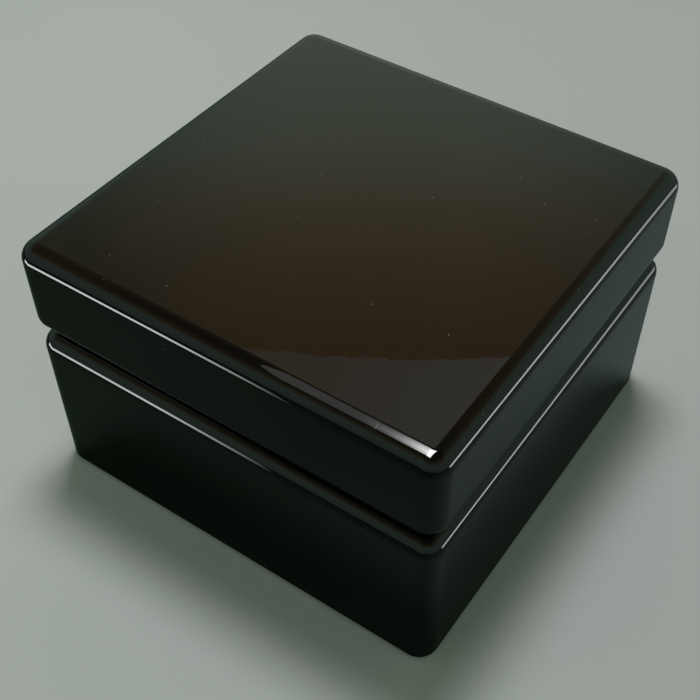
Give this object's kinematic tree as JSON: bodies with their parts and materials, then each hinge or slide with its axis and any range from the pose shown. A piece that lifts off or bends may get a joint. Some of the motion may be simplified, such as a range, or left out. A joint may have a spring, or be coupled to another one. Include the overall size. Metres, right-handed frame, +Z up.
{
  "type": "lacquered powder box",
  "caption": "Square black lacquered powder box: hinged lid with a mirror, a base with a powder jar, sifter and puff, and a shadow groove between lid and base.",
  "frame": {"origin": "centre of the underside, on the surface the box stands on", "axes": "+Z up; -Y is the front, where the lid lifts; +Y is the hinge side; +X is to the right seen from the front"},
  "size_m": [0.12, 0.12, 0.0773],
  "materials": {
    "black_lacquer": "polished",
    "neck_black": "satin",
    "felt": "matte",
    "greyboard": "matte",
    "velvet": "matte",
    "ivory_plastic": "gloss",
    "face_powder": "matte",
    "net": "matte",
    "puff_plush": "matte",
    "satin": "satin",
    "brass": "polished",
    "steel": "satin",
    "mirror": "polished"
  },
  "bodies": {
    "base": {"base_felt": "felt", "base_shell": "black_lacquer", "neck_frame": "neck_black", "deck_support": "greyboard", "deck_board": "greyboard", "deck_velvet": "velvet", "powder_jar": "ivory_plastic", "loose_powder": "face_powder", "sifter_ring": "ivory_plastic", "sifter_net": "net", "powder_puff": "puff_plush", "puff_ribbon": "satin", "hinge_base_leaf_left": "brass", "hinge_base_leaf_right": "brass", "hinge_pin_left": "steel", "hinge_pin_right": "steel", "base_screw_left_1": "brass", "base_screw_left_2": "brass", "base_screw_right_1": "brass", "base_screw_right_2": "brass"},
    "lid": {"lid_shell": "black_lacquer", "lining_board": "greyboard", "lid_lining": "velvet", "mirror": "mirror", "mirror_bezel": "brass", "hinge_lid_leaf_left": "brass", "hinge_lid_leaf_right": "brass", "lid_screw_left_1": "brass", "lid_screw_left_2": "brass", "lid_screw_right_1": "brass", "lid_screw_right_2": "brass", "bezel_screw_1": "brass", "bezel_screw_2": "brass", "bezel_screw_3": "brass", "bezel_screw_4": "brass"}
  },
  "joints": [
    {"name": "lid_hinge", "type": "hinge", "parent": "base", "child": "lid", "pos_m": [0, 0.058, 0.0494], "axis": [-1, 0, 0], "range_deg": [0, 100]}
  ]
}
